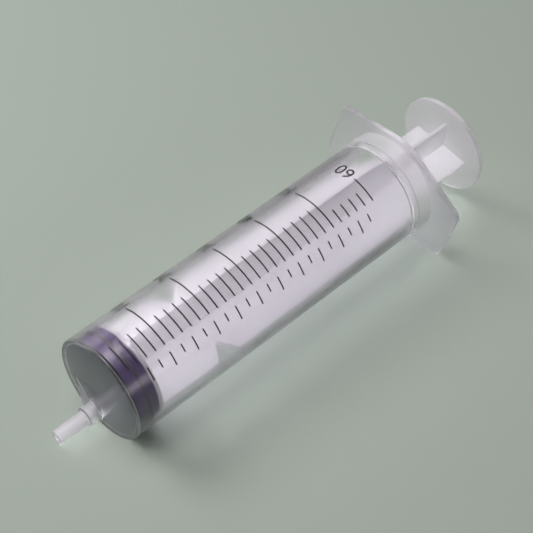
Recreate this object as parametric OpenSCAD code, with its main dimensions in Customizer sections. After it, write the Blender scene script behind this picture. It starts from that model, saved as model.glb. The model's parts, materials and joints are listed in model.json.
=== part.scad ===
// Oral syringe, 60 ml, with an off-centre slip nozzle.
// Three moulded pieces: barrel, stopper and plunger rod, and the ink scale
// printed on the barrel. Units are millimetres.
// The barrel's axis is X: the front end face lies at x = 0, the nozzle points
// to -X and the plunger pulls out to +X. The syringe lies as it rests on a
// table, rolled onto one slanted edge of the finger flange. +Z is up.

/* [Capacity] */
// Volume at the last line of the scale, in millilitres
capacity = 60; // [40:2:90]
// Volume between two lines of the scale, in millilitres
line_step = 2; // [1:1:5]
// Volume between two numbered lines, in millilitres
number_step = 10; // [10:10:30]

/* [Barrel] */
// Inside diameter of the barrel
bore_d = 29; // [22:0.1:36]
// Wall thickness of the barrel
barrel_wall = 1.2; // [0.8:0.1:2]
// Thickness of the front end wall
end_wall = 1.05; // [0.8:0.05:2]
// Rounding of the barrel's front outer edge
front_round = 0.5; // [0.2:0.05:0.9]
// Length of barrel behind the last line, up to the flange's rear face
tail_len = 19.6; // [16:0.1:40]
// How far the short collar in front of the flange stands proud of the barrel
collar_step = 0.4; // [0.2:0.05:1.2]
// Length of the collar in front of the flange
collar_len = 4.9; // [2:0.1:7]
// Height of the bead inside the mouth that keeps the stopper in
bead_h = 0.3; // [0.1:0.05:0.45]
// Distance of the bead from the flange's rear face
bead_back = 8; // [4:0.1:12]

/* [Finger flange] */
// Width over both wings
flange_w = 47.8; // [42:0.1:70]
// How far the flange's round middle stands proud of the barrel
flange_lip = 2.15; // [1.4:0.05:6]
// Straight length of each wing's end
flange_end = 16.8; // [8:0.1:24]
// Radius of the wings' corners
flange_corner = 3; // [1:0.1:5]
// Thickness of the flange
flange_t = 1.5; // [1:0.1:3]

/* [Nozzle] */
// Distance of the nozzle's axis from the barrel's axis
nozzle_offset = 11.9; // [0:0.1:12]
// Outside diameter at the tip
nozzle_tip_d = 4; // [3:0.05:6]
// Growth in diameter along the tapered length (six per cent is the slip taper)
nozzle_taper = 0.06; // [0:0.005:0.12]
// Length of the tapered part
nozzle_taper_len = 9.8; // [6:0.1:16]
// Outside diameter of the base that the taper stands on
nozzle_base_d = 5.9; // [5.2:0.1:7]
// Length of the base
nozzle_base_len = 3.6; // [1:0.1:6]
// Diameter of the channel through the nozzle
lumen_d = 2.2; // [1:0.1:2.6]
// Direction of the thin web beside the nozzle, from straight up
web_turn = -56; // [-90:1:90]
// Reach of the web over the end face, from the nozzle's axis
web_reach = 10.5; // [4:0.1:12]

/* [Stopper] */
// Length of the rubber stopper
stopper_len = 7.5; // [6.5:0.1:20]
// Gap between the stopper and the end wall when the plunger is home
home_gap = 0.1; // [0.05:0.05:0.4]
// Running clearance between the seal rings and the bore
seal_gap = 0.05; // [0.02:0.01:0.1]
// Height of the seal rings above the stopper's body
ring_h = 0.55; // [0.2:0.05:1]
// Width of a seal ring
ring_w = 1; // [0.6:0.1:1.6]
// Distance from the stopper's front to the middle of the second ring
ring_back = 4.45; // [3:0.05:5.5]

/* [Plunger rod] */
// Gap between the fins' outer edges and the bore
fin_gap = 0.7; // [0.5:0.05:3]
// Thickness of a fin at its outer edge
fin_edge_t = 0.9; // [0.6:0.1:1.6]
// Thickness of a fin at the rod's axis
fin_root_t = 1.6; // [1:0.1:3]
// Half width of the fins where they leave the barrel
fin_rear_r = 9.5; // [5:0.1:10]
// Radius of the curve that narrows the fins
shoulder_r = 18.7; // [8:0.1:30]
// Distance from the flange's rear face to the end of that curve
shoulder_back = 1.2; // [0.5:0.1:20]
// Thickness of the round plate behind the stopper
front_plate_t = 1.2; // [0.8:0.1:2]
// Distance from the rod's front plate to the front of the notch
notch_at = 20.7; // [5:0.1:40]
// Depth of the notch in one pair of fins
notch_depth = 4.8; // [1:0.1:8]
// Length of rod between the flange and the thumb plate, plunger home
stick_out = 20.1; // [12:0.1:40]
// Turn of the rod about its axis, from the middle plane of the flange
rod_turn = -9; // [-45:1:45]

/* [Thumb plate] */
// Diameter of the thumb plate
thumb_d = 30.4; // [22:0.1:40]
// Thickness of the thumb plate
thumb_t = 1.5; // [1:0.1:3]
// Distance between the grip ridges
ridge_pitch = 1.2; // [0.8:0.1:3]
// Depth of the grooves between the ridges
groove_depth = 0.35; // [0.1:0.05:0.6]
// Width of the plain rim around the ridges
thumb_rim = 1.5; // [0.8:0.1:4]

/* [Printing] */
// Thickness of the ink
ink_t = 0.03; // [0.02:0.01:0.1]
// Width of a printed line
line_w = 0.42; // [0.2:0.02:0.6]
// Angle of the lines' right ends, from the top of the barrel
line_right = 19.9; // [10:0.1:24]
// Angle of the left ends of the plain lines
line_left = -9.5; // [-30:0.1:0]
// Angle of the left ends of the short lines before the last line
short_left = 4.5; // [-5:0.1:8]
// Angle of the left ends of the numbered lines
long_left = -39.4; // [-60:0.1:-31]
// Turn of the printing along the barrel, in degrees per millimetre
print_skew = 0.062; // [-0.2:0.001:0.2]
// Height of the numerals
digit_h = 4; // [2:0.1:6]
// Angle where the spoon scale's strokes begin
spoon_left = 28; // [26:0.5:40]
// Length of the spoon scale's full strokes along the surface
spoon_stroke = 4; // [2:0.1:8]
// Volume of one teaspoon, in millilitres
spoon_volume = 5; // [5:1:15]

/* [Hidden] */
$fn = 96;
EPS = 0.01;

// Barrel
bore_r = bore_d / 2;
barrel_r = bore_r + barrel_wall;
collar_r = barrel_r + collar_step;
// Length of bore that holds one millilitre
mm_per_ml = 1000 / (PI * bore_r * bore_r);
// The scale starts at the stopper's front face, plunger home
scale_zero = end_wall + home_gap;
barrel_len = scale_zero + capacity * mm_per_ml + tail_len;
flange_x = barrel_len - flange_t;
bead_x = barrel_len - bead_back;

// Finger flange: a round middle and two wings, joined by straight tangents
flange_r = barrel_r + flange_lip;
corner_y = flange_w / 2 - flange_corner;
corner_z = flange_end / 2;
corner_far = sqrt(corner_y * corner_y + corner_z * corner_z);
// Direction of the tangents' outward normal, from the wings' direction
tangent_turn = atan2(corner_z, corner_y) + acos((flange_r - flange_corner) / corner_far);
// Roll that lays one slanted edge flat on the table
rest_roll = 90 - tangent_turn;

// Nozzle
nozzle_len = nozzle_base_len + nozzle_taper_len;
taper_base_d = nozzle_tip_d + nozzle_taper * nozzle_taper_len;
tip_chamfer = 0.2;
web_t = 0.5;
web_h = 0.6 * nozzle_base_len;

// Stopper, and the rod's head that snaps into its pocket
seal_r = bore_r - seal_gap;
stopper_r = seal_r - ring_h;
stopper_front = scale_zero;
stopper_rear = stopper_front + stopper_len;
stopper_edge = 0.4;
pocket_wall = 2.1;
pocket_lip = 1.2;
pocket_r = 0.53 * stopper_r;
mouth_r = 0.39 * stopper_r;
snap_gap = 0.15;

// Plunger rod
fin_r = bore_r - fin_gap;
plate_r = fin_r;
rod_plate_x = stopper_rear + home_gap;
fin_x = rod_plate_x + front_plate_t;
rod_rear = barrel_len + stick_out;
shoulder_end = barrel_len - shoulder_back;
shoulder_drop = fin_r - fin_rear_r;
shoulder_len = sqrt(2 * shoulder_r * shoulder_drop - shoulder_drop * shoulder_drop);
// The notch falls steeply, has a short floor and climbs back more gently
notch_front = 3.4;
notch_floor = 0.8;
notch_back = 3.6;

// Printing
skew_origin = 47;
degrees_per_mm = 180 / (PI * barrel_r);
stroke = 0.12;
glyph_w = 0.52;
glyph_pitch = 0.64;
number_gap = 1.3;
// The lines behind the last number but one are short, up to the last line
short_from = capacity - number_step;
spoon_skip = 2;

// Turns a profile of radius and length about the X axis
module about_x() {
  rotate([0, 90, 0]) rotate_extrude() children();
}

// Stands an outline drawn in Y and Z up at x, t thick towards +X
module across_x(x, t) {
  translate([x, 0, 0]) rotate([90, 0, 90]) linear_extrude(t) children();
}

// A rod of radius r from x0 to x1 on the X axis
module rod_x(r, x0, x1) {
  translate([x0, 0, 0]) rotate([0, 90, 0]) cylinder(r = r, h = x1 - x0);
}

// Lays the whole syringe onto the slanted edge of its flange
module at_rest() {
  rotate([rest_roll, 0, 0]) children();
}

// ---------- Barrel ----------

// Half section of a round bar that ends at h, its front edge rounded by e
module round_front(r, h, e) {
  translate([0, e]) square([r, h - e]);
  square([r - e, h]);
  translate([r - e, e]) circle(r = e);
}

module flange_outline() {
  ty = cos(tangent_turn);
  tz = sin(tangent_turn);
  circle(r = flange_r);
  for (sy = [-1, 1]) {
    for (sz = [-1, 1]) {
      translate([sy * corner_y, sz * corner_z]) circle(r = flange_corner);
      polygon([
        [0, 0],
        [sy * flange_r * ty, sz * flange_r * tz],
        [sy * (corner_y + flange_corner * ty), sz * (corner_z + flange_corner * tz)],
        [sy * corner_y, sz * corner_z]
      ]);
    }
    translate([sy > 0 ? 0 : -corner_y, -corner_z]) square([corner_y, flange_end]);
    translate([sy > 0 ? 0 : -flange_w / 2, -corner_z]) square([flange_w / 2, flange_end]);
  }
}

module nozzle_outside() {
  translate([0, 0, -nozzle_offset]) {
    rod_x(nozzle_base_d / 2, -nozzle_base_len, end_wall / 2);
    rotate([0, -90, 0]) {
      cylinder(d1 = taper_base_d + nozzle_taper * nozzle_base_len,
               d2 = nozzle_tip_d, h = nozzle_len - tip_chamfer);
      translate([0, 0, nozzle_len - tip_chamfer])
        cylinder(d1 = nozzle_tip_d, d2 = nozzle_tip_d - 2 * tip_chamfer, h = tip_chamfer);
    }
  }
}

// Thin triangular web between the nozzle's base and the end face
module nozzle_web() {
  translate([0, 0, -nozzle_offset])
    rotate([web_turn + 90, 0, 0])
      translate([0, 0, -web_t / 2])
        linear_extrude(web_t)
          polygon([[end_wall / 2, 0], [-web_h, 0], [-web_h, nozzle_base_d / 2],
                   [0, web_reach], [end_wall / 2, web_reach]]);
}

module barrel() {
  color([0.88, 0.87, 0.92, 0.55]) at_rest() difference() {
    union() {
      about_x() round_front(barrel_r, barrel_len - flange_t / 2, front_round);
      rod_x(collar_r, flange_x - collar_len, flange_x + flange_t / 2);
      across_x(flange_x, flange_t) flange_outline();
      nozzle_outside();
      nozzle_web();
    }
    difference() {
      about_x() translate([0, end_wall]) round_front(bore_r, barrel_len, stopper_edge);
      about_x() difference() {
        translate([bore_r, bead_x]) circle(r = bead_h);
        translate([bore_r + EPS, bead_x - 1]) square([1, 2]);
      }
    }
    translate([0, 0, -nozzle_offset]) {
      rod_x(lumen_d / 2, -nozzle_len - 1, end_wall + 1);
      // The channel opens towards the bore in a short funnel
      rotate([0, 90, 0])
        cylinder(r1 = lumen_d / 2, r2 = lumen_d / 2 + end_wall + EPS, h = end_wall + EPS);
    }
  }
}

// ---------- Stopper ----------

module stopper() {
  color([0.1, 0.09, 0.12]) at_rest() difference() {
    union() {
      about_x() translate([0, stopper_front])
        round_front(stopper_r, stopper_len, stopper_edge);
      // The front ring is the stopper's own front edge, the second stands alone
      for (x = [stopper_edge + ring_w / 2, ring_back])
        rod_x(seal_r, stopper_front + x - ring_w / 2, stopper_front + x + ring_w / 2);
    }
    rod_x(pocket_r, stopper_front + pocket_wall, stopper_rear - pocket_lip);
    rod_x(mouth_r, stopper_front + pocket_wall, stopper_rear + 1);
  }
}

// ---------- Plunger rod ----------

module fin_outline(notched) {
  rear = shoulder_end - shoulder_len;
  n0 = rod_plate_x + notch_at;
  difference() {
    union() {
      translate([fin_x - front_plate_t / 2, 0]) square([rear - fin_x + front_plate_t / 2, fin_r]);
      translate([fin_x, 0]) square([rod_rear + thumb_t / 2 - fin_x, fin_rear_r]);
      intersection() {
        translate([rear - EPS, 0]) square([shoulder_len + EPS, fin_r]);
        translate([rear, fin_r - shoulder_r]) circle(r = shoulder_r, $fn = 200);
      }
    }
    if (notched)
      polygon([[n0, fin_r + 1], [n0, fin_r],
               [n0 + notch_front, fin_r - notch_depth],
               [n0 + notch_front + notch_floor, fin_r - notch_depth],
               [n0 + notch_front + notch_floor + notch_back, fin_r],
               [n0 + notch_front + notch_floor + notch_back, fin_r + 1]]);
  }
}

module fin(notched) {
  intersection() {
    rotate([90, 0, 0]) linear_extrude(fin_root_t, center = true) fin_outline(notched);
    across_x(0, rod_rear + thumb_t)
      polygon([[-fin_root_t / 2, 0], [fin_root_t / 2, 0], [fin_edge_t / 2, fin_r], [-fin_edge_t / 2, fin_r]]);
  }
}

module thumb_plate() {
  ridged = thumb_d / 2 - thumb_rim;
  count = floor(ridged / ridge_pitch - 0.25);
  difference() {
    rod_x(thumb_d / 2, rod_rear, rod_rear + thumb_t);
    intersection() {
      rod_x(ridged, rod_rear + thumb_t - groove_depth, rod_rear + thumb_t + 1);
      for (i = [-count:count])
        translate([rod_rear + thumb_t - groove_depth, i * ridge_pitch - ridge_pitch / 4, -thumb_d / 2])
          cube([groove_depth + 1, ridge_pitch / 2, thumb_d]);
    }
  }
}

module plunger_rod() {
  color([0.9, 0.89, 0.93, 0.6]) at_rest() rotate([rod_turn, 0, 0]) {
    rod_x(pocket_r - snap_gap, stopper_front + pocket_wall + snap_gap, stopper_rear - pocket_lip - snap_gap);
    rod_x(mouth_r - snap_gap, stopper_front + pocket_wall + 2 * snap_gap, rod_plate_x + front_plate_t / 2);
    rod_x(plate_r, rod_plate_x, fin_x);
    for (i = [0:3])
      rotate([90 * i, 0, 0]) fin(i % 2 == 1);
    thumb_plate();
  }
}

// ---------- Printed scale ----------

// A straight stroke of a numeral with round ends
module bar(a, b) {
  d = b - a;
  translate(a) rotate(atan2(d[1], d[0])) translate([0, -stroke / 2]) square([norm(d), stroke]);
  translate(a) circle(d = stroke, $fn = 24);
  translate(b) circle(d = stroke, $fn = 24);
}

// A curved stroke about c, from angle a0 to angle a1, with round ends
module bow(c, r, a0, a1) {
  far = 2 * r;
  steps = ceil((a1 - a0) / 60);
  translate(c) {
    intersection() {
      difference() {
        circle(r = r + stroke / 2, $fn = 48);
        circle(r = r - stroke / 2, $fn = 48);
      }
      polygon(concat([[0, 0]], [for (i = [0:steps])
        let (a = a0 + (a1 - a0) * i / steps) far * [cos(a), sin(a)]]));
    }
    for (a = [a0, a1])
      translate(r * [cos(a), sin(a)]) circle(d = stroke, $fn = 24);
  }
}

module ring(c, r) {
  translate(c) difference() {
    circle(r = r + stroke / 2, $fn = 48);
    circle(r = r - stroke / 2, $fn = 48);
  }
}

// Numerals of height 1, drawn with strokes inside a box glyph_w wide
module numeral(n) {
  h = stroke / 2;
  r = glyph_w / 2 - h;
  m = glyph_w / 2;
  top = 1 - h;
  if (n == 0) {
    bow([m, top - r], r, 0, 180);
    bow([m, h + r], r, 180, 360);
    bar([h, h + r], [h, top - r]);
    bar([glyph_w - h, h + r], [glyph_w - h, top - r]);
  }
  if (n == 1) {
    bar([m + 0.06, h], [m + 0.06, top]);
    bar([m + 0.06, top], [m - 0.14, top - 0.2]);
  }
  if (n == 2) {
    bow([m, top - r], r, -40, 170);
    bar([m + r * cos(40), top - r - r * sin(40)], [h, h]);
    bar([h, h], [glyph_w - h, h]);
  }
  if (n == 3) {
    bow([m, top - r], r, -90, 160);
    bow([m, h + r + 0.02], r + 0.02, -160, 90);
  }
  if (n == 4) {
    bar([glyph_w - 0.14, h], [glyph_w - 0.14, top]);
    bar([glyph_w - 0.14, top], [h, 0.32]);
    bar([h, 0.32], [glyph_w - h, 0.32]);
  }
  if (n == 5) {
    bar([glyph_w - h, top], [0.13, top]);
    bar([0.13, top], [0.09, 0.54]);
    bow([m - 0.02, 0.34], r + 0.04, -150, 130);
  }
  if (n == 6) {
    ring([m, h + r + 0.02], r + 0.01);
    bar([h, h + r], [h + 0.01, top - r]);
    bow([m + 0.01, top - r], r, 25, 180);
  }
  if (n == 7) {
    bar([h, top], [glyph_w - h, top]);
    bar([glyph_w - h, top], [0.18, h]);
  }
  if (n == 8) {
    ring([m, top - r + 0.02], r - 0.02);
    ring([m, h + r + 0.01], r + 0.01);
  }
  if (n == 9) {
    ring([m, top - r - 0.02], r + 0.01);
    bar([glyph_w - h, top - r], [glyph_w - h - 0.01, h + r]);
    bow([m - 0.01, h + r], r, 205, 360);
  }
}

// Turn of the printing at x, caused by its slant along the barrel
function skew(x) = print_skew * (x - skew_origin);

// A printed stroke round the barrel at x, from angle a0 to angle a1
module stroke_round(x, a0, a1) {
  translate([x - line_w / 2, 0, 0])
    rotate([a0 + skew(x) + 90, 0, 0])
      rotate([90, 0, 90])
        rotate_extrude(angle = a1 - a0, $fn = 200)
          translate([barrel_r, 0]) square([ink_t, line_w]);
}

// A number beside the line at x, read away from the line's end at angle a
module number_round(x, a, n) {
  digits = n < 100 ? [floor(n / 10), n % 10] : [floor(n / 100), floor(n / 10) % 10, n % 10];
  for (i = [0:len(digits) - 1])
    if (n >= 10 || i > 0) {
      away = (number_gap + (i + 0.5) * glyph_pitch * digit_h) * degrees_per_mm;
      intersection() {
        rotate([a + skew(x) - away, 0, 0])
          translate([x, 0, barrel_r - 1])
            rotate([0, 0, 90])
              linear_extrude(2) scale(digit_h)
                translate([-glyph_w / 2, -0.5]) numeral(digits[i]);
        difference() {
          rod_x(barrel_r + ink_t, x - digit_h, x + digit_h);
          rod_x(barrel_r, x - 2 * digit_h, x + 2 * digit_h);
        }
      }
    }
}

module millilitre_scale() {
  for (v = [0:line_step:capacity]) {
    x = scale_zero + v * mm_per_ml;
    numbered = v > 0 && v % number_step == 0;
    left = v == capacity ? line_left
         : numbered ? long_left
         : v > short_from ? short_left
         : line_left;
    stroke_round(x, left, line_right);
    if (numbered)
      number_round(x, left, v);
  }
}

// Plain strokes, long at each teaspoon and short at each half
module spoon_scale() {
  halves = floor(2 * capacity / spoon_volume);
  for (i = [1:halves - spoon_skip]) {
    x = scale_zero + (i + 1) * spoon_volume / 2 * mm_per_ml;
    full = spoon_stroke * degrees_per_mm;
    whole = (i + 1) % 2 == 0;
    stroke_round(x, spoon_left, spoon_left + (whole ? full : full * 0.6));
  }
}

module scale_print() {
  color([0.05, 0.05, 0.06]) at_rest() {
    millilitre_scale();
    spoon_scale();
  }
}

barrel();
stopper();
plunger_rod();
scale_print();
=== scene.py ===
"""Oral syringe, 60 ml: the visual model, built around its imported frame.

Three mouldings and a print: the frosted barrel, the rubber stopper, the
milky plunger rod, and the black scale on the barrel. Lengths are in metres.
"""

import json
import math

import bpy
from mathutils import Matrix, Vector


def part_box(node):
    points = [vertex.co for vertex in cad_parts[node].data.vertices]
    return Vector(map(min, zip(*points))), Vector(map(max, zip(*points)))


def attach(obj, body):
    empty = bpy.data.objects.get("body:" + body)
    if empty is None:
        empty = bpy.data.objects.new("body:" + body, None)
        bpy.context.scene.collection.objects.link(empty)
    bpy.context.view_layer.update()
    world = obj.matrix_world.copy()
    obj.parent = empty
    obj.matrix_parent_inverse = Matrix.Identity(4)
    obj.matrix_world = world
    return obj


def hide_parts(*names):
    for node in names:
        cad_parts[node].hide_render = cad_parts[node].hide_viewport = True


bl_info = {
    "name": "Oral syringe",
    "version": (1, 0, 0),
    "blender": (4, 5, 0),
    "location": "3D View > Sidebar > Syringe",
    "description": "Builds a 60 ml oral syringe piece by piece",
    "category": "Add Mesh",
}

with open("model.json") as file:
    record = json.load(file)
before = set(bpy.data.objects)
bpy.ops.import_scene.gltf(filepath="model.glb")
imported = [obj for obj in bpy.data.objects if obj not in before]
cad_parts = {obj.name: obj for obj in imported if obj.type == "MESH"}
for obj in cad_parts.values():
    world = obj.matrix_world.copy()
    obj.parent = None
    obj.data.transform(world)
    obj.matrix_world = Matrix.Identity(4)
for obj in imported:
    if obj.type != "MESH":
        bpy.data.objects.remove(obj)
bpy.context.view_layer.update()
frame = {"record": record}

MM = 0.001
RECORD = frame["record"]
MOUNTS = {mount["name"]: mount for mount in RECORD["mounts"]}


def mount_x(name):
    """Place of a mount along the barrel."""
    return MOUNTS[name]["pos_m"][0]


# ---------- What the frame says ----------

BARREL_R = MOUNTS["barrel_body"]["dims"]["r_mm"] * MM
LUMEN_R = MOUNTS["nozzle_channel"]["dims"]["r_mm"] * MM
FLANGE_FRONT = mount_x("flange_front")
FLANGE_REAR = mount_x("flange_rear")
THUMB_REAR = mount_x("thumb_face")
TIP_X = mount_x("nozzle_channel")
NOZZLE_Y, NOZZLE_Z = MOUNTS["nozzle_channel"]["pos_m"][1:]
# The syringe lies rolled onto one slanted edge of its flange
ROLL = math.atan2(NOZZLE_Y, -NOZZLE_Z)
FLANGE_R = -MOUNTS["flange_foot"]["pos_m"][2]
STOPPER_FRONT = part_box("stopper")[0][0]
STOPPER_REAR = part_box("stopper")[1][0]
SEAL_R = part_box("stopper")[1][2]
HEAD_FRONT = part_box("plunger_rod")[0][0]
THUMB_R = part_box("plunger_rod")[1][2]

# ---------- Fits and fineness ----------

# The tube's wall, the seal rings' height and the pocket's lip, which the rod is made to fit
TUBE_WALL = 1.2 * MM
RING_HEIGHT = 0.55 * MM
POCKET_LIP = 1.2 * MM
# Start of the first seal ring behind the stopper's front
RING_FRONT = 0.1 * MM
# Ends of the notch's front slope, floor and back slope, from where the notch starts
NOTCH_ENDS = (3.4 * MM, 4.2 * MM, 7.8 * MM)
# Height of the web as a share of the nozzle's base
WEB_HEIGHT = 0.6
# A half spoon's stroke as a share of a full one
HALF_STROKE = 0.6
# Space between the stopper and the rod's front plate
PLATE_GAP = 0.1 * MM
# Space round the rod's head and neck in the stopper's pocket
HEAD_GAP = 0.15 * MM
# Radii of the pocket and of its mouth, as shares of the stopper's body
POCKET_SHARE = 0.53
MOUTH_SHARE = 0.39
# Height of the ink's underside over the barrel, so that the two faces don't coincide
INK_LIFT = 0.01 * MM
# Most turn that one short length of a printed line spans
STRIP_TURN = math.radians(1.5)
# Unit of the small fillets
FINE = 0.1 * MM
# Points closer than this are one point
SAME_POINT = 1e-7
# Steps of a full turn
BARREL_STEPS = 192
ROUND_STEPS = 160
NOZZLE_STEPS = 96
CHANNEL_STEPS = 64
# One millilitre in cubic metres
ML = 1e-6


# ---------- Sizes and colours a user would change ----------

def length(name, text, default, high=0.2):
    """A length property in metres."""
    return bpy.props.FloatProperty(
        name=name, description=text, default=default, min=0.0, max=high,
        precision=5, subtype="DISTANCE", unit="LENGTH")


def angle(name, text, degrees):
    """An angle property, given here in degrees."""
    return bpy.props.FloatProperty(
        name=name, description=text, default=math.radians(degrees), subtype="ANGLE")


def colour(name, text, rgb):
    """A colour property."""
    return bpy.props.FloatVectorProperty(
        name=name, description=text, default=rgb, min=0.0, max=1.0, size=3, subtype="COLOR")


def share(name, text, default, high=1.0):
    """A plain number from 0."""
    return bpy.props.FloatProperty(name=name, description=text, default=default, min=0.0, max=high)


def whole(name, text, default):
    """A whole number from 1."""
    return bpy.props.IntProperty(name=name, description=text, default=default, min=1)


class BarrelSizes(bpy.types.PropertyGroup):
    """Sizes of the barrel moulding"""

    wall: length("Wall", "Thickness of the tube's wall", TUBE_WALL)
    end_wall: length("End wall", "Thickness of the front end wall", 1.05 * MM)
    front_round: length("Front rounding", "Rounding of the front outer edge", 0.5 * MM)
    collar_step: length("Collar step", "How far the collar stands proud of the tube", 0.4 * MM)
    collar_len: length("Collar length", "Length of the collar in front of the flange", 4.9 * MM)
    bead: length("Bead", "Height of the bead inside the mouth", 0.3 * MM)
    bead_back: length("Bead place", "Distance of the bead from the flange's rear face", 8.0 * MM)
    flange_width: length("Flange width", "Width over both wings", 47.8 * MM)
    flange_end: length("Wing end", "Straight length of each wing's end", 16.8 * MM)
    flange_corner: length("Wing corner", "Radius of the wings' corners", 3.0 * MM)
    flange_edge: length("Flange edge", "Rounding of the flange's edges", 0.22 * MM)
    nozzle_tip_r: length("Tip radius", "Outside radius of the nozzle's tip", 2.0 * MM)
    nozzle_taper: share("Taper", "Growth in diameter for each unit of length", 0.06)
    nozzle_base_r: length("Base radius", "Radius of the nozzle's base", 2.95 * MM)
    nozzle_base_len: length("Base length", "Length of the nozzle's base", 3.6 * MM)
    web_turn: angle("Web turn", "Direction of the web beside the nozzle", -56.0)
    web_reach: length("Web reach", "Reach of the web over the end face", 10.5 * MM)
    web_t: length("Web thickness", "Thickness of the web", 0.5 * MM)


class StopperSizes(bpy.types.PropertyGroup):
    """Sizes of the rubber stopper"""

    ring_h: length("Ring height", "Height of the seal rings above the body", RING_HEIGHT)
    ring_w: length("Ring width", "Width of a seal ring", 0.8 * MM)
    ring_back: length("Second ring", "Middle of the second ring behind the front", 4.45 * MM)
    pocket_wall: length("Front thickness", "Rubber in front of the rod's head", 2.1 * MM)
    pocket_lip: length("Lip", "Length of the lip that holds the head", POCKET_LIP)


class RodSizes(bpy.types.PropertyGroup):
    """Sizes of the plunger rod"""

    fin_gap: length("Fin gap", "Gap between the fins and the bore", 0.7 * MM)
    fin_edge_t: length("Fin edge", "Thickness of a fin at its outer edge", 0.9 * MM)
    fin_root_t: length("Fin root", "Thickness of a fin at the axis", 1.6 * MM)
    fin_rear_r: length("Rear half width", "Half width of the fins outside the barrel", 9.5 * MM)
    shoulder_r: length("Shoulder", "Radius of the curve that narrows the fins", 18.7 * MM)
    shoulder_back: length("Shoulder end", "Distance from the flange's rear face", 1.2 * MM)
    plate_t: length("Front plate", "Thickness of the plate behind the stopper", 1.2 * MM)
    notch_at: length("Notch place", "From the front plate to the notch", 20.7 * MM)
    notch_depth: length("Notch depth", "Depth of the notch in one pair of fins", 4.8 * MM)
    thumb_t: length("Thumb plate", "Thickness of the thumb plate", 1.5 * MM)
    ridge_pitch: length("Ridge pitch", "Distance between the grip ridges", 1.2 * MM)
    groove_depth: length("Groove depth", "Depth of the grooves between them", 0.34 * MM)
    thumb_rim: length("Rim", "Width of the plain rim", 1.5 * MM)
    turn: angle("Turn", "Turn of the rod about its axis", -9.0)


class PrintSizes(bpy.types.PropertyGroup):
    """Sizes of the printed scale"""

    capacity: whole("Capacity", "Millilitres at the last line", 60)
    line_step: whole("Line step", "Millilitres between lines", 2)
    number_step: whole("Number step", "Millilitres between numbers", 10)
    line_w: length("Line width", "Width of a printed line", 0.42 * MM)
    ink_t: length("Ink", "Thickness of the ink", 0.03 * MM)
    right: angle("Right ends", "Right ends of the lines", 19.9)
    left: angle("Left ends", "Left ends of the plain lines", -9.5)
    long_left: angle("Long lines", "Left ends of the numbered lines", -39.4)
    short_left: angle("Short lines", "Left ends of the lines before the last", 4.5)
    skew: share("Skew", "Turn of the printing along the barrel, in radians per metre", 1.08, 5.0)
    skew_origin: length("Skew origin", "Where the printing isn't turned", 47.0 * MM)
    digit_h: length("Numeral height", "Height of the numerals", 4.0 * MM)
    number_gap: length("Number gap", "From a line's end to its number", 1.3 * MM)
    spoon_left: angle("Spoon scale", "Where the spoon scale's strokes begin", 28.0)
    spoon_stroke: length("Spoon stroke", "Length of a full stroke of the spoon scale", 4.0 * MM)
    spoon_volume: share("Teaspoon", "Millilitres in a teaspoon", 5.0, 15.0)


class Finishes(bpy.types.PropertyGroup):
    """Colours of the materials"""

    barrel: colour("Barrel", "Frosted plastic of the barrel", (0.97, 0.955, 0.98))
    # Painted shade: the end wall's darker, bluer tint darkens the stopper's front face seen
    # through it
    end_wall: colour("End wall", "Smooth plastic of the end wall", (0.86, 0.89, 0.92))
    rod: colour("Rod", "Milky plastic of the plunger rod", (0.97, 0.96, 0.975))
    # Painted sheen: the purple tint paints the lilac sheen of the lit rubber, which itself is near
    # black
    rubber: colour("Rubber", "Rubber of the stopper", (0.022, 0.003, 0.062))
    # Painted shade: the seal rings that press on the bore look darker through the wall, and this
    # darker colour paints that look on them
    pressed: colour("Pressed rubber", "Seal rings pressed on the bore", (0.003, 0.002, 0.006))
    ink: colour("Ink", "Ink of the scale", (0.008, 0.008, 0.010))
    floor: colour("Floor", "Table top", (0.40, 0.47, 0.39))


class StageSettings(bpy.types.PropertyGroup):
    """Where the camera stands"""

    aim: bpy.props.FloatVectorProperty(
        name="Aim", description="Point the camera looks at", size=3, subtype="TRANSLATION",
        default=(0.0608, 0.0005, 0.0008))
    distance: length("Distance", "From the camera to the aim", 0.4571, high=5.0)
    azimuth: angle("Azimuth", "Turn of the view from +Y towards +X", 39.85)
    elevation: angle("Elevation", "How far the camera looks down", 45.90)
    roll: angle("Roll", "Turn of the camera about its line of sight", 4.73)
    lens: share("Lens", "Focal length in millimetres", 111.07, 500.0)


# ---------- Modelling helpers ----------

def start_clean():
    """Leaves object mode with nothing selected."""
    if bpy.context.object and bpy.context.object.mode != "OBJECT":
        bpy.ops.object.mode_set(mode="OBJECT")
    bpy.ops.object.select_all(action="DESELECT")


def only(ob):
    """Selects one object and makes it active."""
    start_clean()
    ob.select_set(True)
    bpy.context.view_layer.objects.active = ob


def chain(name, points):
    """A chain of edges through points, extruded from one vertex, with coincident ends merged."""
    start_clean()
    bpy.ops.mesh.primitive_plane_add(size=1.0, location=points[0])
    ob = bpy.context.object
    ob.name = name
    bpy.ops.object.mode_set(mode="EDIT")
    bpy.ops.mesh.merge(type="CENTER")
    at = Vector(points[0])
    for point in points[1:]:
        step = Vector(point) - at
        bpy.ops.mesh.extrude_region_move(TRANSFORM_OT_translate={"value": step})
        at = Vector(point)
    bpy.ops.mesh.select_all(action="SELECT")
    bpy.ops.mesh.remove_doubles(threshold=SAME_POINT)
    leave_edit()
    settle(ob)
    return ob


def settle(ob):
    """Puts an object at the origin, with its place in its mesh."""
    only(ob)
    bpy.ops.object.transform_apply(location=True, rotation=True, scale=True)


def edit(ob):
    """Opens an object in edit mode with all of it selected."""
    only(ob)
    bpy.ops.object.mode_set(mode="EDIT")
    bpy.ops.mesh.select_all(action="SELECT")


def leave_edit():
    """Back to object mode."""
    bpy.ops.object.mode_set(mode="OBJECT")


def outward(ob):
    """Turns every face outwards."""
    edit(ob)
    bpy.ops.mesh.normals_make_consistent(inside=False)
    leave_edit()


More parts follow.
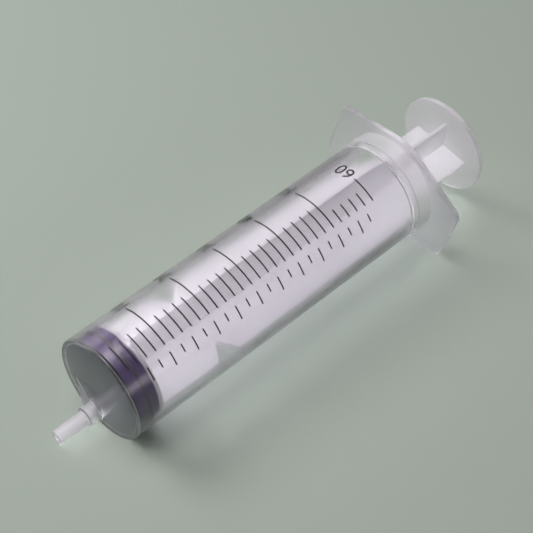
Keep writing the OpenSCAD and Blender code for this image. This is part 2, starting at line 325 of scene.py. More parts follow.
def turned(name, profile, steps=ROUND_STEPS, centre=(0.0, 0.0)):
    """Spins a profile of (x, radius) about a line along X through centre (y, z)."""
    cy, cz = centre
    # Every profile starts and ends on the line, so the spun shape is closed at both ends
    ob = chain(name, [(x, cy, cz + r) for x, r in profile])
    edit(ob)
    bpy.ops.mesh.spin(
        steps=steps, angle=math.tau, center=(0.0, cy, cz), axis=(1.0, 0.0, 0.0),
        use_auto_merge=False)
    bpy.ops.mesh.select_all(action="SELECT")
    bpy.ops.mesh.remove_doubles(threshold=SAME_POINT)
    bpy.ops.mesh.normals_make_consistent(inside=False)
    leave_edit()
    return ob


def rounded(corners, steps=5):
    """Points of a closed profile whose corners (x, r, fillet) are rounded by arcs."""
    points = []
    count = len(corners)
    for i, (x, r, fillet) in enumerate(corners):
        here = Vector((x, r))
        before = Vector(corners[i - 1][:2])
        after = Vector(corners[(i + 1) % count][:2])
        if fillet <= 0.0:
            points.append((x, r))
            continue
        back = (before - here).normalized()
        on = (after - here).normalized()
        half = back.angle(on) / 2
        reach = fillet / math.tan(half)
        centre = here + (back + on).normalized() * (fillet / math.sin(half))
        first = here + back * reach - centre
        sweep = first.angle_signed(here + on * reach - centre)
        for k in range(steps + 1):
            turn = -sweep * k / steps
            c, s = math.cos(turn), math.sin(turn)
            points.append((centre.x + first.x * c - first.y * s,
                           centre.y + first.x * s + first.y * c))
    return points


def modify(ob, kind, **values):
    """Adds a modifier, sets it and applies it."""
    only(ob)
    bpy.ops.object.modifier_add(type=kind)
    modifier = ob.modifiers[-1]
    for key, value in values.items():
        setattr(modifier, key, value)
    bpy.ops.object.modifier_apply(modifier=modifier.name)


def combine(ob, other, operation="UNION"):
    """Joins, cuts or intersects ob with another piece, which is used up."""
    modify(ob, "BOOLEAN", operation=operation, object=other, solver="EXACT")
    bpy.data.objects.remove(other)


def slab(name, outline, depth):
    """Fills a closed outline and extrudes it by the vector depth."""
    ob = chain(name, outline + outline[:1])
    edit(ob)
    bpy.ops.mesh.edge_face_add()
    bpy.ops.mesh.extrude_region_move(TRANSFORM_OT_translate={"value": depth})
    leave_edit()
    outward(ob)
    return ob


def turn_about_x(ob, radians):
    """Turns a piece about the barrel's axis."""
    ob.rotation_euler = (radians, 0.0, 0.0)
    settle(ob)


def smooth(ob, degrees=35.0):
    """Smooth shading with crisp edges."""
    only(ob)
    bpy.ops.object.shade_smooth_by_angle(angle=math.radians(degrees))


def dress(ob, material, body, node):
    """Gives a piece its finish and its body, and hides the imported node it stands for."""
    ob.data.materials.clear()
    ob.data.materials.append(material)
    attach(ob, body)
    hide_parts(node)


# ---------- Materials ----------

class Graph:
    """Small helper to lay out shader nodes."""

    def __init__(self, tree):
        self.tree = tree
        self.tree.nodes.clear()

    def add(self, kind, **values):
        node = self.tree.nodes.new(kind)
        for key, value in values.items():
            if key in node.inputs:
                node.inputs[key].default_value = value
            else:
                setattr(node, key, value)
        return node

    def link(self, start, end):
        self.tree.links.new(start, end)


def group_tree(name, inputs, outputs):
    """A shader node group with float inputs and outputs."""
    tree = bpy.data.node_groups.new(name, "ShaderNodeTree")
    for label, default in inputs:
        socket = tree.interface.new_socket(label, in_out="INPUT", socket_type="NodeSocketFloat")
        socket.default_value = default
    for label in outputs:
        tree.interface.new_socket(label, in_out="OUTPUT", socket_type="NodeSocketFloat")
    graph = Graph(tree)
    return graph, graph.add("NodeGroupInput"), graph.add("NodeGroupOutput")


def moulded_skin():
    """Group: fine frost, slow waves of the wall and faint rub marks of a moulded plastic."""
    graph, ins, outs = group_tree(
        "Moulded skin",
        [("Roughness", 0.3), ("Variation", 0.1),
         ("Frost size", 2500.0), ("Wave size", 90.0), ("Rub size", 260.0)],
        ["Roughness", "Height"])
    place = graph.add("ShaderNodeTexCoord")
    frost = graph.add("ShaderNodeTexNoise", Detail=3.0)
    wave = graph.add("ShaderNodeTexNoise", Detail=1.0)
    stretch = graph.add("ShaderNodeMapping")
    stretch.inputs["Scale"].default_value = (0.12, 1.0, 1.0)
    rub = graph.add("ShaderNodeTexNoise", Detail=6.0, Roughness=0.7)
    for texture, size in ((frost, "Frost size"), (wave, "Wave size"), (rub, "Rub size")):
        graph.link(ins.outputs[size], texture.inputs["Scale"])
    graph.link(place.outputs["Object"], frost.inputs["Vector"])
    graph.link(place.outputs["Object"], wave.inputs["Vector"])
    graph.link(place.outputs["Object"], stretch.inputs["Vector"])
    graph.link(stretch.outputs["Vector"], rub.inputs["Vector"])
    centred = graph.add("ShaderNodeMath", operation="SUBTRACT")
    centred.inputs[1].default_value = 0.5
    graph.link(rub.outputs["Fac"], centred.inputs[0])
    scaled = graph.add("ShaderNodeMath", operation="MULTIPLY_ADD")
    graph.link(centred.outputs[0], scaled.inputs[0])
    graph.link(ins.outputs["Variation"], scaled.inputs[1])
    graph.link(ins.outputs["Roughness"], scaled.inputs[2])
    graph.link(scaled.outputs[0], outs.inputs["Roughness"])
    relief = graph.add("ShaderNodeMath", operation="MULTIPLY_ADD")
    relief.inputs[1].default_value = 0.12
    graph.link(frost.outputs["Fac"], relief.inputs[0])
    graph.link(wave.outputs["Fac"], relief.inputs[2])
    graph.link(relief.outputs[0], outs.inputs["Height"])
    return graph.tree


def begin_material(name):
    """A new material with its output and its shader, not yet linked."""
    material = bpy.data.materials.new(name)
    material.use_nodes = True
    graph = Graph(material.node_tree)
    out = graph.add("ShaderNodeOutputMaterial")
    shader = graph.add("ShaderNodeBsdfPrincipled")
    return material, graph, out, shader


def set_base(shader, base):
    """Gives a shader one base colour all over."""
    shader.inputs["Base Color"].default_value = (*base, 1.0)


def lay_skin(graph, shader, skin, roughness, variation):
    """Puts the moulded skin on a shader's roughness."""
    surface = graph.add("ShaderNodeGroup", node_tree=skin)
    surface.inputs["Roughness"].default_value = roughness
    surface.inputs["Variation"].default_value = variation
    graph.link(surface.outputs["Roughness"], shader.inputs["Roughness"])
    return surface


def raise_skin(graph, shader, surface, strength, distance):
    """Puts the moulded skin's relief on a shader's normal."""
    relief = graph.add("ShaderNodeBump", Strength=strength, Distance=distance)
    graph.link(surface.outputs["Height"], relief.inputs["Height"])
    graph.link(relief.outputs["Normal"], shader.inputs["Normal"])


def plastic(name, skin, base, roughness, variation, transmission, gloss, bump, thin_shadow):
    """Translucent plastic: transmission is its clear share, and the rest is milky."""
    material, graph, out, shader = begin_material(name)
    set_base(shader, base)
    shader.inputs["Transmission Weight"].default_value = transmission
    shader.inputs["IOR"].default_value = 1.45
    shader.inputs["Specular IOR Level"].default_value = 0.3
    shader.inputs["Coat Weight"].default_value = gloss
    shader.inputs["Coat Roughness"].default_value = 0.45
    surface = lay_skin(graph, shader, skin, roughness, variation)
    raise_skin(graph, shader, surface, bump, 0.2 * MM)
    # Light passes through the thin walls, so what lies behind them isn't in full shadow
    clear = graph.add("ShaderNodeBsdfTransparent")
    clear.inputs["Color"].default_value = (*thin_shadow, 1.0)
    path = graph.add("ShaderNodeLightPath")
    mix = graph.add("ShaderNodeMixShader")
    graph.link(path.outputs["Is Shadow Ray"], mix.inputs[0])
    graph.link(shader.outputs[0], mix.inputs[1])
    graph.link(clear.outputs[0], mix.inputs[2])
    graph.link(mix.outputs[0], out.inputs["Surface"])
    return material


def rubber(name, skin, base, pressed):
    """Moulded rubber with a satin skin. Its purple tint is painted lilac sheen on a near-black
    rubber, and the seal rings that press on the bore are painted darker, a painted shade for their
    darker look through the wall.
    """
    material, graph, out, shader = begin_material(name)
    shader.inputs["Specular IOR Level"].default_value = 0.25
    place = graph.add("ShaderNodeTexCoord")
    apart = graph.add("ShaderNodeSeparateXYZ")
    graph.link(place.outputs["Object"], apart.inputs[0])
    across = graph.add("ShaderNodeCombineXYZ")
    graph.link(apart.outputs["Y"], across.inputs["Y"])
    graph.link(apart.outputs["Z"], across.inputs["Z"])
    radius = graph.add("ShaderNodeVectorMath", operation="LENGTH")
    graph.link(across.outputs[0], radius.inputs[0])
    # Painted shade: a mask by radius that paints the seal rings in the darker pressed colour
    ring = graph.add("ShaderNodeMapRange")
    ring.inputs["From Min"].default_value = SEAL_R - 0.3 * MM
    ring.inputs["From Max"].default_value = SEAL_R - 0.1 * MM
    graph.link(radius.outputs["Value"], ring.inputs["Value"])
    painted_ring_shade_mix = graph.add("ShaderNodeMix", data_type="RGBA")
    # Colour sockets A and B of the mix, whose names its number and vector sockets share. A holds
    # the purple rubber colour, whose tint is painted lilac sheen
    painted_ring_shade_mix.inputs[6].default_value = (*base, 1.0)
    painted_ring_shade_mix.inputs[7].default_value = (*pressed, 1.0)
    graph.link(ring.outputs["Result"], painted_ring_shade_mix.inputs["Factor"])
    graph.link(painted_ring_shade_mix.outputs[2], shader.inputs["Base Color"])
    surface = lay_skin(graph, shader, skin, roughness=0.36, variation=0.25)
    raise_skin(graph, shader, surface, 0.25, 0.1 * MM)
    graph.link(shader.outputs[0], out.inputs["Surface"])
    return material


def printed_ink(name, skin, base):
    """Satin black ink, a little uneven."""
    material, graph, out, shader = begin_material(name)
    set_base(shader, base)
    lay_skin(graph, shader, skin, roughness=0.55, variation=0.3)
    graph.link(shader.outputs[0], out.inputs["Surface"])
    return material


def table_top(name, base):
    """Pale matt table top."""
    material, graph, out, shader = begin_material(name)
    set_base(shader, base)
    shader.inputs["Roughness"].default_value = 0.8
    graph.link(shader.outputs[0], out.inputs["Surface"])
    return material


FINISH = {}
# Share of the lamps' light that passes one face of the barrel, and one face of the rod
BARREL_SHADOW = (0.76, 0.76, 0.77)
ROD_SHADOW = (0.82, 0.82, 0.83)


def make_finishes(colours):
    """Builds each material once."""
    skin = moulded_skin()
    FINISH["barrel"] = plastic(
        "barrel_plastic", skin, colours.barrel, roughness=0.22, variation=0.03,
        transmission=0.975, gloss=0.04, bump=0.08, thin_shadow=BARREL_SHADOW)
    FINISH["thick"] = plastic(
        "barrel_plastic_thick", skin, colours.barrel, roughness=0.36, variation=0.03,
        transmission=0.86, gloss=0.30, bump=0.08, thin_shadow=BARREL_SHADOW)
    # Painted shade: the end wall's darker tint darkens the stopper's front face behind it
    FINISH["end"] = plastic(
        "barrel_plastic_end_painted_shade", skin, colours.end_wall, roughness=0.16, variation=0.02,
        transmission=0.985, gloss=0.0, bump=0.04, thin_shadow=BARREL_SHADOW)
    FINISH["rod"] = plastic(
        "rod_plastic", skin, colours.rod, roughness=0.20, variation=0.03,
        transmission=0.70, gloss=0.15, bump=0.08, thin_shadow=ROD_SHADOW)
    FINISH["rubber"] = rubber("stopper_rubber", skin, colours.rubber, colours.pressed)
    FINISH["ink"] = printed_ink("scale_ink", skin, colours.ink)
    FINISH["floor"] = table_top("table_top", colours.floor)


# ---------- Barrel ----------

def tube(sizes):
    """Tube, end wall, collar and inner bead, spun from one profile."""
    bore = BARREL_R - sizes.wall
    collar = BARREL_R + sizes.collar_step
    collar_x = FLANGE_FRONT - sizes.collar_len
    bead_x = FLANGE_REAR - sizes.bead_back
    bead = sizes.bead
    # The collar runs a little way into the flange, and the tube fills the flange's hole
    collar_end = FLANGE_FRONT + 3 * FINE
    in_flange = BARREL_R - 2 * FINE
    corners = [
        (0.0, 0.0, 0.0),
        (0.0, BARREL_R, sizes.front_round),
        (collar_x, BARREL_R, 2 * FINE),
        (collar_x, collar, 1.5 * FINE),
        (collar_end, collar, 0.0),
        (collar_end, in_flange, 0.0),
        (FLANGE_REAR, in_flange, 0.0),
        (FLANGE_REAR, bore, 3 * FINE),
        (bead_x + 2 * bead, bore, 2 * FINE),
        (bead_x, bore - bead, 2 * FINE),
        (bead_x - 2 * bead, bore, 2 * FINE),
        (sizes.end_wall, bore, 4 * FINE),
        (sizes.end_wall, 0.0, 0.0),
    ]
    return turned("barrel_tube", rounded(corners), steps=BARREL_STEPS)


def arc_points(cy, cz, r, start, end, steps):
    """Points of an arc in Y and Z."""
    for k in range(steps + 1):
        a = start + (end - start) * k / steps
        yield cy + r * math.cos(a), cz + r * math.sin(a)


def flange(sizes):
    """Finger flange: round middle and two wings joined by straight tangents."""
    corner_y = sizes.flange_width / 2 - sizes.flange_corner
    corner_z = sizes.flange_end / 2
    far = math.hypot(corner_y, corner_z)
    # Angle at which a wing's straight edge leaves the round middle
    tangent = math.atan2(corner_z, corner_y) + math.acos((FLANGE_R - sizes.flange_corner) / far)
    corner_steps, middle_steps = 10, 24
    outline = []
    for side in (0.0, math.pi):
        c, s = math.cos(side), math.sin(side)
        lower = (corner_y * c + corner_z * s, corner_y * s - corner_z * c)
        upper = (corner_y * c - corner_z * s, corner_y * s + corner_z * c)
        outline += arc_points(*lower, sizes.flange_corner, side - tangent, side, corner_steps)
        outline += arc_points(*upper, sizes.flange_corner, side, side + tangent, corner_steps)
        outline += arc_points(
            0.0, 0.0, FLANGE_R, side + tangent, side + math.pi - tangent, middle_steps)
    points = [(FLANGE_FRONT, y, z) for y, z in outline]
    ob = slab("finger_flange", points, (FLANGE_REAR - FLANGE_FRONT, 0.0, 0.0))
    edit(ob)
    bpy.ops.mesh.remove_doubles(threshold=SAME_POINT)
    leave_edit()
    modify(ob, "BEVEL", width=sizes.flange_edge, segments=3, limit_method="ANGLE",
           angle_limit=math.radians(60.0))
    # The hole's edge lies inside the tube's wall
    hole_r = BARREL_R - 6 * FINE
    hole = turned("hole", [
        (FLANGE_FRONT - MM, 0.0), (FLANGE_FRONT - MM, hole_r),
        (FLANGE_REAR + MM, hole_r), (FLANGE_REAR + MM, 0.0)], steps=BARREL_STEPS)
    combine(ob, hole, "DIFFERENCE")
    turn_about_x(ob, ROLL)
    return ob


def nozzle(sizes):
    """Tapered slip nozzle on its base, spun about its own axis."""
    base_x = -sizes.nozzle_base_len
    base_r = sizes.nozzle_base_r
    tip_r = sizes.nozzle_tip_r
    foot_r = tip_r + sizes.nozzle_taper / 2 * (base_x - TIP_X)
    # The foot is wider than the base and sunk in the end wall, so that a fillet joins the two
    sunk_x = sizes.end_wall / 2
    sunk_r = base_r + 9 * FINE
    corners = [
        (TIP_X, 0.0, 0.0),
        (TIP_X, tip_r, 2 * FINE),
        (base_x, foot_r, 2.5 * FINE),
        (base_x, base_r, 3 * FINE),
        (0.0, base_r, 4 * FINE),
        (0.0, sunk_r, 0.0),
        (sunk_x, sunk_r, 0.0),
        (sunk_x, 0.0, 0.0),
    ]
    return turned("nozzle", rounded(corners), steps=NOZZLE_STEPS, centre=(NOZZLE_Y, NOZZLE_Z))


def channel(sizes):
    """The space inside the nozzle, with a funnel at the bore and a softened mouth."""
    soft = 2 * FINE
    inside = sizes.end_wall + soft
    profile = [
        (TIP_X - MM, 0.0), (TIP_X - MM, LUMEN_R + soft),
        (TIP_X, LUMEN_R + soft), (TIP_X + soft, LUMEN_R),
        (0.0, LUMEN_R), (inside, LUMEN_R + inside), (inside, 0.0)]
    return turned("channel", profile, steps=CHANNEL_STEPS, centre=(NOZZLE_Y, NOZZLE_Z))


def web(sizes):
    """Thin web between the nozzle's base and the end face."""
    inside = sizes.end_wall / 2
    height = WEB_HEIGHT * sizes.nozzle_base_len
    half = sizes.web_t / 2
    outline = [(inside, 0.0), (-height, 0.0), (-height, sizes.nozzle_base_r),
               (0.0, sizes.web_reach), (inside, sizes.web_reach)]
    ob = slab("web", [(x, -half, r) for x, r in outline], (0.0, 2 * half, 0.0))
    turn_about_x(ob, sizes.web_turn + ROLL)
    ob.location = (0.0, NOZZLE_Y, NOZZLE_Z)
    settle(ob)
    return ob


def finish_regions(barrel, sizes):
    """Milkier plastic on the thick parts, and clearer plastic on the end wall, tinted darker and
    bluer as a painted shade on the stopper's front face behind it.
    """
    barrel.data.materials.append(FINISH["thick"])
    barrel.data.materials.append(FINISH["end"])
    thick, end = 1, 2
    near = 0.05 * MM
    collar_x = FLANGE_FRONT - sizes.collar_len
    bore = BARREL_R - sizes.wall
    for face in barrel.data.polygons:
        place = face.center
        if place.x > collar_x - near or place.x < -near:
            face.material_index = thick
        elif place.x < sizes.end_wall + near and place.yz.length < bore:
            face.material_index = end


class SYRINGE_OT_barrel(bpy.types.Operator):
    """Frosted barrel with its end wall, nozzle, collar and finger flange"""

    bl_idname = "syringe.barrel"
    bl_label = "Barrel"

    def execute(self, context):
        sizes = context.scene.syringe_barrel
        barrel = tube(sizes)
        combine(barrel, flange(sizes))
        combine(barrel, nozzle(sizes))
        combine(barrel, web(sizes))
        combine(barrel, channel(sizes), "DIFFERENCE")
        barrel.name = "frosted_barrel"
        smooth(barrel)
        dress(barrel, FINISH["barrel"], "barrel", "barrel")
        finish_regions(barrel, sizes)
        return {"FINISHED"}


# ---------- Stopper ----------

class SYRINGE_OT_stopper(bpy.types.Operator):
    """Dark rubber stopper with two rounded seal rings and a pocket for the rod's head"""

    bl_idname = "syringe.stopper"
    bl_label = "Stopper"

    def execute(self, context):
        sizes = context.scene.syringe_stopper
        body = SEAL_R - sizes.ring_h
        front, rear = STOPPER_FRONT, STOPPER_REAR
        pocket = POCKET_SHARE * body
        mouth = MOUTH_SHARE * body
        lip = rear - sizes.pocket_lip
        soft = 3 * FINE
        first = front + RING_FRONT
        second = front + sizes.ring_back - sizes.ring_w / 2
        corners = [(front, 0.0, 0.0), (front, body, 0.0)]
        # The first ring is too near the front for a fillet at its foot
        for start, foot in ((first, 0.0), (second, soft)):
            end = start + sizes.ring_w
            corners += [(start, body, foot), (start, SEAL_R, soft),
                        (end, SEAL_R, soft), (end, body, soft)]
        corners += [
            (rear, body, soft), (rear, mouth, soft), (lip, mouth, soft), (lip, pocket, soft),
            (front + sizes.pocket_wall, pocket, soft), (front + sizes.pocket_wall, 0.0, 0.0),
        ]
        stopper = turned("rubber_stopper", rounded(corners, 4))
        smooth(stopper)
        dress(stopper, FINISH["rubber"], "stopper", "stopper")
        return {"FINISHED"}


# ---------- Plunger rod ----------

def fin_outline(sizes, fin_r, notched):
    """Outline of one fin in X and radius."""
    plate_x = STOPPER_REAR + PLATE_GAP
    front = plate_x + sizes.plate_t / 2
    rear = THUMB_REAR - sizes.thumb_t / 2
    drop = fin_r - sizes.fin_rear_r
    run = math.sqrt(2 * sizes.shoulder_r * drop - drop * drop)
    end = FLANGE_REAR - sizes.shoulder_back
    points = [(front, 0.0), (front, fin_r)]
    if notched:
        x = plate_x + sizes.notch_at
        low = fin_r - sizes.notch_depth
        slope_end, floor_end, notch_end = NOTCH_ENDS
        points += [(x, fin_r), (x + slope_end, low), (x + floor_end, low), (x + notch_end, fin_r)]
    steps = 16
    reach = math.asin(run / sizes.shoulder_r)
    for k in range(steps + 1):
        a = reach * k / steps
        points.append((end - run + sizes.shoulder_r * math.sin(a),
                       fin_r - sizes.shoulder_r * (1 - math.cos(a))))
    points += [(rear, sizes.fin_rear_r), (rear, 0.0)]
    return points


def fin(sizes, fin_r, index):
    """One tapered fin of the rod, turned into place. Every second one is notched."""
    points = fin_outline(sizes, fin_r, notched=index % 2 == 1)
    root, edge = sizes.fin_root_t / 2, sizes.fin_edge_t / 2
    ob = slab("fin", [(x, -root, r) for x, r in points], (0.0, 2 * root, 0.0))
    for vertex in ob.data.vertices:
        # From 0 at the axis to 1 at the outer edge
        share_out = min(1.0, vertex.co.z / fin_r)
        vertex.co.y *= 1.0 - share_out * (1.0 - edge / root)
    modify(ob, "BEVEL", width=0.14 * MM, segments=2, limit_method="ANGLE",
           angle_limit=math.radians(50.0))
    turn_about_x(ob, index * math.pi / 2)
    return ob


def rod_core(sizes, plate_r):
    """Head, neck and the round plate behind the stopper."""
    body = SEAL_R - RING_HEIGHT
    head_r = POCKET_SHARE * body - HEAD_GAP
    neck_r = MOUTH_SHARE * body - HEAD_GAP
    head_end = STOPPER_REAR - POCKET_LIP - HEAD_GAP
    plate_x = STOPPER_REAR + PLATE_GAP
    plate_end = plate_x + sizes.plate_t
    corners = [
        (HEAD_FRONT, 0.0, 0.0), (HEAD_FRONT, head_r, 4 * FINE), (head_end, head_r, 2 * FINE),
        (head_end, neck_r, FINE), (plate_x, neck_r, 0.0),
        (plate_x, plate_r, 1.5 * FINE), (plate_end, plate_r, 1.5 * FINE), (plate_end, 0.0, 0.0),
    ]
    return turned("rod_core", rounded(corners, 4))


def thumb_plate(sizes):
    """Thumb plate with straight grip ridges sunk inside a plain rim."""
    front = THUMB_REAR - sizes.thumb_t
    soft = 3 * FINE
    corners = [(front, 0.0, 0.0), (front, THUMB_R, soft), (THUMB_REAR, THUMB_R, soft),
               (THUMB_REAR, 0.0, 0.0)]
    plate = turned("thumb_plate", rounded(corners, 4))
    # Grooves on each side of the middle one, the outermost wholly inside the rim
    ridged = THUMB_R - sizes.thumb_rim
    count = math.floor(ridged / sizes.ridge_pitch - 0.25)
    floor_x = THUMB_REAR - sizes.groove_depth
    start_clean()
    bpy.ops.mesh.primitive_cube_add(
        size=1.0, location=(floor_x + MM / 2, -count * sizes.ridge_pitch, 0.0))
    cutters = bpy.context.object
    cutters.scale = (MM, sizes.ridge_pitch / 2, 2 * THUMB_R)
    settle(cutters)
    modify(cutters, "ARRAY", count=2 * count + 1, use_relative_offset=False,
           use_constant_offset=True, constant_offset_displace=(0.0, sizes.ridge_pitch, 0.0))
    disc_front, disc_rear = floor_x - MM, THUMB_REAR + 2 * MM
    disc = turned("disc", [(disc_front, 0.0), (disc_front, ridged), (disc_rear, ridged),
                           (disc_rear, 0.0)])
    combine(cutters, disc, "INTERSECT")
    combine(plate, cutters, "DIFFERENCE")
    return plate


class SYRINGE_OT_plunger_rod(bpy.types.Operator):
    """Milky plunger rod with four fins, a notch in one pair and a ridged thumb plate"""

    bl_idname = "syringe.plunger_rod"
    bl_label = "Plunger rod"

    def execute(self, context):
        sizes = context.scene.syringe_rod
        fin_r = BARREL_R - TUBE_WALL - sizes.fin_gap
        rod = rod_core(sizes, fin_r)
        for index in range(4):
            combine(rod, fin(sizes, fin_r, index))
        combine(rod, thumb_plate(sizes))
        turn_about_x(rod, sizes.turn + ROLL)
        rod.name = "milky_plunger_rod"
        smooth(rod)
        dress(rod, FINISH["rod"], "plunger", "plunger_rod")
        return {"FINISHED"}


# ---------- Printed scale ----------

def flat_strip(x, start, end, width):
    """A flat strip of print at x, from angle start to angle end, cut into short lengths."""
    steps = max(4, round((end - start) / STRIP_TURN))
    middle = (start + end) / 2 * BARREL_R
    start_clean()
    bpy.ops.mesh.primitive_grid_add(
        x_subdivisions=1, y_subdivisions=steps, size=1.0, location=(x, middle, 0.0))
    strip = bpy.context.object
    strip.scale = (width, (end - start) * BARREL_R, 1.0)
    settle(strip)
    return strip


def flat_number(text, x, start, height):
    """Numerals read away from the line's end, their tops towards the nozzle."""
    start_clean()
    bpy.ops.object.text_add(location=(0.0, 0.0, 0.0))
    ob = bpy.context.object
    ob.data.body = text
    ob.data.size = 1.0
    ob.data.resolution_u = 5
    bpy.ops.object.convert(target="MESH")
    tall = max(v.co.y for v in ob.data.vertices)
    low = min(v.co.x for v in ob.data.vertices)
    for v in ob.data.vertices:
        across = (v.co.x - low) / tall * height
        up = (v.co.y / tall - 0.5) * height
        v.co = (x - up, start - across, 0.0)
    edit(ob)
    bpy.ops.mesh.flip_normals()
    bpy.ops.mesh.quads_convert_to_tris()
    bpy.ops.mesh.subdivide(number_cuts=2)
    leave_edit()
    return ob


def wrap(ob, sizes):
    """Wraps flat print round the barrel: across becomes an angle, with the printing's skew."""
    for v in ob.data.vertices:
        turn = v.co.y / BARREL_R + sizes.skew * (v.co.x - sizes.skew_origin) + ROLL
        r = BARREL_R + INK_LIFT + v.co.z
        v.co = (v.co.x, -r * math.sin(turn), r * math.cos(turn))
    ob.data.update()


def volume_scale(sizes, per_ml):
    """Flat lines at every step of volume, with numerals beside the long ones."""
    pieces = []
    for volume in range(0, sizes.capacity + 1, sizes.line_step):
        x = STOPPER_FRONT + volume * per_ml
        numbered = volume > 0 and volume % sizes.number_step == 0
        left = sizes.left
        if numbered and volume < sizes.capacity:
            left = sizes.long_left
        elif sizes.capacity - sizes.number_step < volume < sizes.capacity:
            left = sizes.short_left
        pieces.append(flat_strip(x, left, sizes.right, sizes.line_w))
        if numbered:
            start = left * BARREL_R - sizes.number_gap
            pieces.append(flat_number(str(volume), x, start, sizes.digit_h))
    return pieces


def spoon_scale(sizes, per_ml):
    """Flat strokes for spoons, full ones and shorter halves, from the first full spoon on."""
    pieces = []
    halves = math.floor(2 * sizes.capacity / sizes.spoon_volume)
    for half in range(2, halves):
        x = STOPPER_FRONT + half * sizes.spoon_volume / 2 * per_ml
        stroke = sizes.spoon_stroke / BARREL_R
        if half % 2 == 1:
            stroke *= HALF_STROKE
        pieces.append(flat_strip(x, sizes.spoon_left, sizes.spoon_left + stroke, sizes.line_w))
    return pieces


class SYRINGE_OT_scale_print(bpy.types.Operator):
    """Millilitre scale with its numbers, and a plain spoon scale beside it"""

    bl_idname = "syringe.scale_print"
    bl_label = "Printed scale"

    def execute(self, context):
        sizes = context.scene.syringe_print
        bore = BARREL_R - context.scene.syringe_barrel.wall
        per_ml = ML / (math.pi * bore * bore)
        pieces = volume_scale(sizes, per_ml) + spoon_scale(sizes, per_ml)
        start_clean()
        for piece in pieces:
            piece.select_set(True)
        bpy.context.view_layer.objects.active = pieces[0]
        bpy.ops.object.join()
        print_ob = bpy.context.object
        print_ob.name = "printed_scale"
        settle(print_ob)
        modify(print_ob, "SOLIDIFY", thickness=sizes.ink_t, offset=1.0)
        wrap(print_ob, sizes)
        outward(print_ob)
        smooth(print_ob, 50.0)
        dress(print_ob, FINISH["ink"], "barrel", "scale_print")
        return {"FINISHED"}


# ---------- Stage ----------

TABLE_SIZE = 6.0
SENSOR_WIDTH = 36.0
WORLD_COLOUR = (0.93, 0.94, 1.0, 1.0)
WORLD_STRENGTH = 0.13
# Name, place, width and height, power in watts, tint
LAMPS = (
    ("overhead", (0.00, 0.05, 0.80), (0.45, 0.35), 2.6, (1.0, 0.93, 1.0)),
    ("back_key", (-0.10, 0.55, 0.55), (0.40, 0.30), 3.4, (1.0, 0.97, 1.0)),
    ("front_strip", (0.10, -0.70, 0.28), (0.50, 0.08), 0.5, (1.0, 0.95, 1.0)),
)


def lay_table():
    """A table top that touches the barrel's front edge and the flange's foot."""
    slope = math.atan2(FLANGE_R - BARREL_R, FLANGE_FRONT)
    start_clean()
    bpy.ops.mesh.primitive_plane_add(size=TABLE_SIZE, location=(0.0, 0.0, -BARREL_R))
    table = bpy.context.object
    table.name = "table"
    table.rotation_euler = (0.0, slope, 0.0)
    table.data.materials.append(FINISH["floor"])


def softbox(aim, name, place, size, power, tint):
    """A rectangular soft light that looks at aim."""
    start_clean()
    bpy.ops.object.light_add(type="AREA", location=place)
    lamp = bpy.context.object
    lamp.name = name
    lamp.data.shape = "RECTANGLE"
    lamp.data.size, lamp.data.size_y = size
    lamp.data.energy = power
    lamp.data.color = tint
    # The plastic lets lamp light straight through, so the lamps aren't counted twice
    lamp.data.cycles.use_multiple_importance_sampling = False
    lamp.rotation_euler = (Vector(aim) - Vector(place)).to_track_quat("-Z", "Y").to_euler()


def soft_world(scene):
    """Even, faint light from all round."""
    world = bpy.data.worlds.new("studio")
    scene.world = world
    world.use_nodes = True
    background = world.node_tree.nodes["Background"]
    background.inputs["Color"].default_value = WORLD_COLOUR
    background.inputs["Strength"].default_value = WORLD_STRENGTH


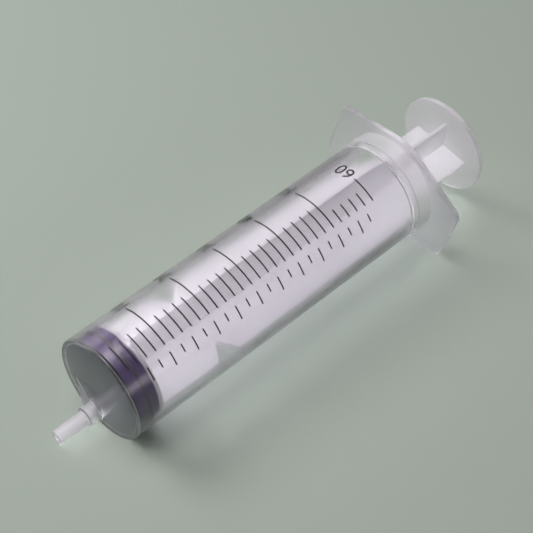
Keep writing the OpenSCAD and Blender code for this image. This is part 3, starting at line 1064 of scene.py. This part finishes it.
def set_camera(scene, stage):
    """Puts the camera at its distance from the aim and turns it to look there."""
    aim = Vector(stage.aim)
    forward = Vector((
        math.sin(stage.azimuth) * math.cos(stage.elevation),
        math.cos(stage.azimuth) * math.cos(stage.elevation),
        -math.sin(stage.elevation)))
    start_clean()
    bpy.ops.object.camera_add(location=aim - forward * stage.distance)
    camera = bpy.context.object
    camera.name = "camera"
    level = forward.to_track_quat("-Z", "Y").to_matrix()
    turn = Matrix.Rotation(stage.roll, 3, forward)
    camera.rotation_euler = (turn @ level).to_euler()
    camera.data.lens = stage.lens
    camera.data.sensor_width = SENSOR_WIDTH
    camera.data.clip_start = 10 * MM
    scene.camera = camera


class SYRINGE_OT_stage(bpy.types.Operator):
    """Pale table, soft light and the camera"""

    bl_idname = "syringe.stage"
    bl_label = "Stage"

    def execute(self, context):
        scene = context.scene
        lay_table()
        for lamp in LAMPS:
            softbox(scene.syringe_stage.aim, *lamp)
        soft_world(scene)
        set_camera(scene, scene.syringe_stage)
        scene.view_settings.view_transform = "Standard"
        return {"FINISHED"}


# ---------- Panel and registration ----------

class SYRINGE_PT_panel(bpy.types.Panel):
    """Lists the syringe's pieces"""

    bl_idname = "SYRINGE_PT_panel"
    bl_label = "Oral syringe"
    bl_space_type = "VIEW_3D"
    bl_region_type = "UI"
    bl_category = "Syringe"

    def draw(self, context):
        for operator in OPERATORS:
            self.layout.operator(operator.bl_idname)


OPERATORS = (
    SYRINGE_OT_stage,
    SYRINGE_OT_barrel,
    SYRINGE_OT_stopper,
    SYRINGE_OT_plunger_rod,
    SYRINGE_OT_scale_print,
)
GROUPS = {
    "syringe_barrel": BarrelSizes,
    "syringe_stopper": StopperSizes,
    "syringe_rod": RodSizes,
    "syringe_print": PrintSizes,
    "syringe_finishes": Finishes,
    "syringe_stage": StageSettings,
}


def register():
    """Registers every class and hangs the sizes on the scene."""
    for name, group in GROUPS.items():
        bpy.utils.register_class(group)
        setattr(bpy.types.Scene, name, bpy.props.PointerProperty(type=group))
    for cls in (*OPERATORS, SYRINGE_PT_panel):
        bpy.utils.register_class(cls)


def unregister():
    """Undoes register."""
    for cls in (SYRINGE_PT_panel, *OPERATORS):
        bpy.utils.unregister_class(cls)
    for name, group in GROUPS.items():
        delattr(bpy.types.Scene, name)
        bpy.utils.unregister_class(group)


def main():
    """Builds the stage and every piece."""
    register()
    make_finishes(bpy.context.scene.syringe_finishes)
    bpy.ops.syringe.stage()
    bpy.ops.syringe.barrel()
    bpy.ops.syringe.stopper()
    bpy.ops.syringe.plunger_rod()
    bpy.ops.syringe.scale_print()


if __name__ == "__main__":
    main()
